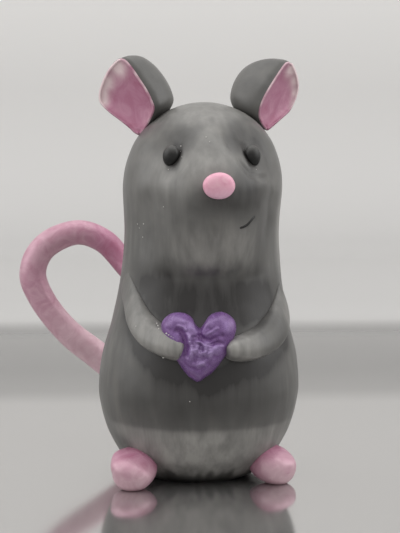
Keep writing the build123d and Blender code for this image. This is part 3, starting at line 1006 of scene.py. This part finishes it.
def heart_relief(x, y, share):
    """How far folds and crumples move the heart's face at a place, fading out at its edge."""
    folded = 0.0
    for wide, lift, points in HEART_FOLDS:
        gap, along = near_line(x, y, points)
        fade = (1 - (2 * along - 1) ** 6) * min(1.0, 3.5 * (1 - share))
        folded += lift * fade * soft_bump(gap / wide)
    # Its middle is crumpled, and its edge is smooth
    crumpled = noise.turbulence(Vector((x, y, 0)), 3, False, noise_basis="PERLIN_ORIGINAL")
    return max(folded + (0.5 - crumpled) * 0.42 * soft_bump(x / 2.6, y / 2.4), HEART_DEEPEST)


class MOUSE_OT_heart(bpy.types.Operator):
    """Model the folded purple heart between the paws"""

    bl_idname = "mouse.heart"
    bl_label = "Heart"

    def execute(self, context):
        dome = context.scene.mouse_heart.thickness / MM
        outward = around(HEART_BEARING, 1)
        looking = outward * cos(radians(HEART_LEAN)) + UP * sin(radians(HEART_LEAN))
        across, rise = upright(looking)
        seat = skin_point(HEART_BEARING, HEART_HEIGHT)
        count, steps = 180, 56
        outline = [closed_flowing(HEART_OUTLINE, k / count) for k in range(count)]
        rings, tones = [], []
        for at in range(steps + 1):
            share = 0.02 + 0.98 * at / steps
            swell = sqrt(max(1 - share ** 3.2, 0.0))
            ring = []
            for spot in outline:
                x, y = (m + (v - m) * share for m, v in zip(HEART_MIDDLE, spot))
                folded = heart_relief(x, y, share)
                front = HEART_PROUD - dome + dome * swell - HEART_EDGE * (1 - swell) + folded
                front += 0.05 * noise.noise(Vector((x, y, 0)) * 1.7)
                ring.append(seat + across * x + rise * y + looking * front)
                # Painted highlight on the folds' ridges and painted shade in their creases
                tones.append(0.95 * folded)
            rings.append(ring)
        edge = rings[-1]
        middle = sum(edge, Vector()) / count
        # The rim goes back into the belly and narrows
        for sunk, shrink in ((0.7, 1.0), (2.2, 0.96), (3.4, 0.9)):
            rings.append([middle + (p - middle) * shrink - looking * sunk for p in edge])
            tones += [0.0] * count
        purple = mica_clay(
            "purple_clay_folded", context.scene.mouse_heart.colour[:], hex_colour("#65437a"),
            hex_colour("#8a69a4"), 0.6, 0.3, "#b39ccb", "#5a2468",
        )
        add_piece("heart_cushion", [rings], purple, "heart", tones)
        return {"FINISHED"}


class MOUSE_OT_feet(bpy.types.Operator):
    """Model the two pink feet"""

    bl_idname = "mouse.feet"
    bl_label = "Feet"

    def execute(self, context):
        pitch = radians(FOOT_PITCH)
        pink = shared_pink("pink_clay_rolled", 0.45, 0.36)
        count, steps = 48, 40
        for name, (side, front, toe) in FOOT_PLACES.items():
            toeward = around(toe, cos(pitch), -sin(pitch))
            across, above = upright(toeward)
            skew = FOOT_SKEW if name == "right" else 0.0
            rings, tones = [], []
            for at in range(steps + 1):
                place, wide, thick = flowing(FOOT_ROWS, at / steps)
                centre = Vector((side, -front, FOOT_HEIGHT)) + toeward * FOOT_LENGTH * place
                ring = []
                for c, s in ring_turns(count):
                    flat = 0.82 if s > 0 else 1.0
                    point = centre + above * FOOT_HALF_THICKNESS * thick * drawn_out(s, flat)
                    point += across * FOOT_HALF_WIDTH * wide * drawn_out(c, flat)
                    point -= across * skew * max(s, 0.0) * wide
                    point = hand_rolled(point, centre, 0.4)
                    point.z = max(point.z, 0.0)
                    ring.append(point)
                    # Paler towards the toe, and a little deeper on top
                    tones.append(0.9 * place + 0.14 - 0.2 * max(s, 0.0))
                rings.append(ring)
            add_piece("foot_egg_" + name, [rings], pink, "foot_" + name, tones)
        return {"FINISHED"}


class MOUSE_OT_tail(bpy.types.Operator):
    """Roll the tail along its curl"""

    bl_idname = "mouse.tail"
    bl_label = "Tail"

    def execute(self, context):
        count, steps = 36, 180
        steady = Vector((1, 0, 0))
        rings, tones = [], []
        for at in range(steps + 1):
            share = at / steps
            here = Vector(flowing(TAIL_LINE, share))
            ahead = Vector(flowing(TAIL_LINE, min(share + 0.004, 1.0)))
            along = (ahead - Vector(flowing(TAIL_LINE, max(share - 0.004, 0.0)))).normalized()
            steady = (steady - along * steady.dot(along)).normalized()
            other = along.cross(steady)
            radius = TAIL_ROOT_RADIUS + (TAIL_TIP_RADIUS - TAIL_ROOT_RADIUS) * share
            radius *= 1 + CLAY_UNEVEN * noise.noise(Vector((share * 9, 0.5, 0)))
            radius *= min(1.0, 0.35 + min(share, 1 - share) * 40)
            rings.append([
                hand_rolled(here + (steady * c + other * s) * radius, here, 0.3)
                for c, s in ring_turns(count)
            ])
            tones += [curve_at(TAIL_TONES, share)] * count
        pink = shared_pink("pink_clay_rolled", 0.45, 0.36)
        add_piece("tail_roll", [rings], pink, "tail", tones)
        return {"FINISHED"}


class MOUSE_OT_core(bpy.types.Operator):
    """Finish the foil core and the wire, which stay hidden inside"""

    bl_idname = "mouse.core"
    bl_label = "Core and wire"

    def execute(self, context):
        for node, finish in (("foil_core", crushed_foil()), ("tail_wire", drawn_wire())):
            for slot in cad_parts[node].material_slots:
                slot.material = finish
        return {"FINISHED"}


class MOUSE_OT_dust(bpy.types.Operator):
    """Scatter the few specks of dust and lint that cling to the clay"""

    bl_idname = "mouse.dust"
    bl_label = "Dust"

    def execute(self, context):
        draw = random.Random(4)
        specks = []
        for bearing, height, radius, clear in DUST:
            out = skin_normal(bearing, height)
            centre = skin_point(bearing, height) + out * (clear + radius * 0.4)
            halves = (radius * draw.uniform(0.8, 1.5), radius, radius * 0.6)
            specks.append(button_rings(centre, out, halves, 2.0, 8, 5))
        add_piece("dust_specks", specks, settled_dust())
        return {"FINISHED"}


class MOUSE_OT_stage(bpy.types.Operator):
    """Set up the pale floor, the backdrop, the soft lights and the camera"""

    bl_idname = "mouse.stage"
    bl_label = "Stage"

    def execute(self, context):
        settings = context.scene.mouse_stage
        scene = context.scene
        scene.view_settings.view_transform = "Standard"
        profile = [(SWEEP_FRONT, 0), (SWEEP_FLAT, 0)]
        bends = 12
        for step in range(1, bends + 1):
            turn = radians(90 * step / bends)
            profile.append((SWEEP_FLAT + SWEEP_BEND * sin(turn), SWEEP_BEND * (1 - cos(turn))))
        profile.append((SWEEP_FLAT + SWEEP_BEND, SWEEP_TOP))
        sides = (-SWEEP_HALF_WIDTH, SWEEP_HALF_WIDTH)
        verts = [metres((x, y, z - SWEEP_GAP)) for y, z in profile for x in sides]
        faces = [(2 * k, 2 * k + 1, 2 * k + 3, 2 * k + 2) for k in range(len(profile) - 1)]
        mesh = bpy.data.meshes.new("studio_sweep")
        mesh.from_pydata(verts, [], faces)
        mesh.polygons.foreach_set("use_smooth", [True] * len(mesh.polygons))
        mesh.materials.append(mirror_sheet(settings.floor_colour))
        sweep = bpy.data.objects.new("studio_sweep", mesh)
        scene.collection.objects.link(sweep)

        world = bpy.data.worlds.new("studio_room")
        world.use_nodes = True
        ground = world.node_tree.nodes["Background"]
        ground.inputs["Color"].default_value = (*hex_colour("#e6e5e3"), 1.0)
        ground.inputs["Strength"].default_value = settings.room_light
        scene.world = world

        # The side lamps light the mouse alone, so that the sheet doesn't mirror them as glare
        sparing = bpy.data.collections.new("sheet_kept_out_of_side_light")
        sparing.objects.link(sweep)
        sparing.collection_objects[0].light_linking.link_state = "EXCLUDE"
        for name, (place, size) in SOFTBOXES.items():
            lamp = bpy.data.lights.new(name, "AREA")
            lamp.shape = "RECTANGLE"
            lamp.size, lamp.size_y = size[0] * MM, size[1] * MM
            lamp.energy = settings.key_power
            light = bpy.data.objects.new(name, lamp)
            if name != "overhead_softbox":
                lamp.energy = settings.side_power
                light.light_linking.receiver_collection = sparing
            aim_at(light, place, LIGHTS_AIM)

        lens = bpy.data.cameras.new("photograph_camera")
        lens.lens = CAMERA_LENS
        lens.sensor_width = 36.0
        lens.clip_start = 0.01
        camera = bpy.data.objects.new("photograph_camera", lens)
        aim_at(camera, CAMERA_PLACE, CAMERA_AIM)
        scene.camera = camera
        return {"FINISHED"}


def aim_at(thing, place, aim):
    """Puts a lamp or a camera in its place, in millimetres, and turns it towards an aim."""
    thing.location = metres(place)
    thing.rotation_euler = (metres(aim) - metres(place)).to_track_quat("-Z", "Y").to_euler()
    bpy.context.scene.collection.objects.link(thing)


PIECES = (
    MOUSE_OT_stage, MOUSE_OT_body, MOUSE_OT_mouth, MOUSE_OT_nose, MOUSE_OT_eyes, MOUSE_OT_ears,
    MOUSE_OT_arms, MOUSE_OT_heart, MOUSE_OT_feet, MOUSE_OT_tail, MOUSE_OT_core, MOUSE_OT_dust,
)
SETTINGS = {
    "mouse_stage": StageSettings,
    "mouse_body": BodySettings,
    "mouse_heart": HeartSettings,
    "mouse_pink": PinkSettings,
}


class MOUSE_PT_panel(bpy.types.Panel):
    """Lists the pieces of the clay mouse and their settings"""

    bl_idname = "MOUSE_PT_panel"
    bl_label = "Clay Mouse"
    bl_space_type = "VIEW_3D"
    bl_region_type = "UI"
    bl_category = "Clay Mouse"

    def draw(self, context):
        for piece in PIECES:
            self.layout.operator(piece.bl_idname)
        for group in SETTINGS:
            settings = getattr(context.scene, group)
            box = self.layout.box()
            for name in settings.bl_rna.properties.keys():
                if name not in ("rna_type", "name"):
                    box.prop(settings, name)


def register():
    for kind in (*SETTINGS.values(), *PIECES, MOUSE_PT_panel):
        bpy.utils.register_class(kind)
    for name, kind in SETTINGS.items():
        setattr(bpy.types.Scene, name, PointerProperty(type=kind))


def unregister():
    for name in SETTINGS:
        delattr(bpy.types.Scene, name)
    for kind in (MOUSE_PT_panel, *reversed(PIECES), *SETTINGS.values()):
        bpy.utils.unregister_class(kind)


def main():
    register()
    for piece in PIECES:
        group, name = piece.bl_idname.split(".")
        getattr(getattr(bpy.ops, group), name)()


if __name__ == "__main__":
    main()
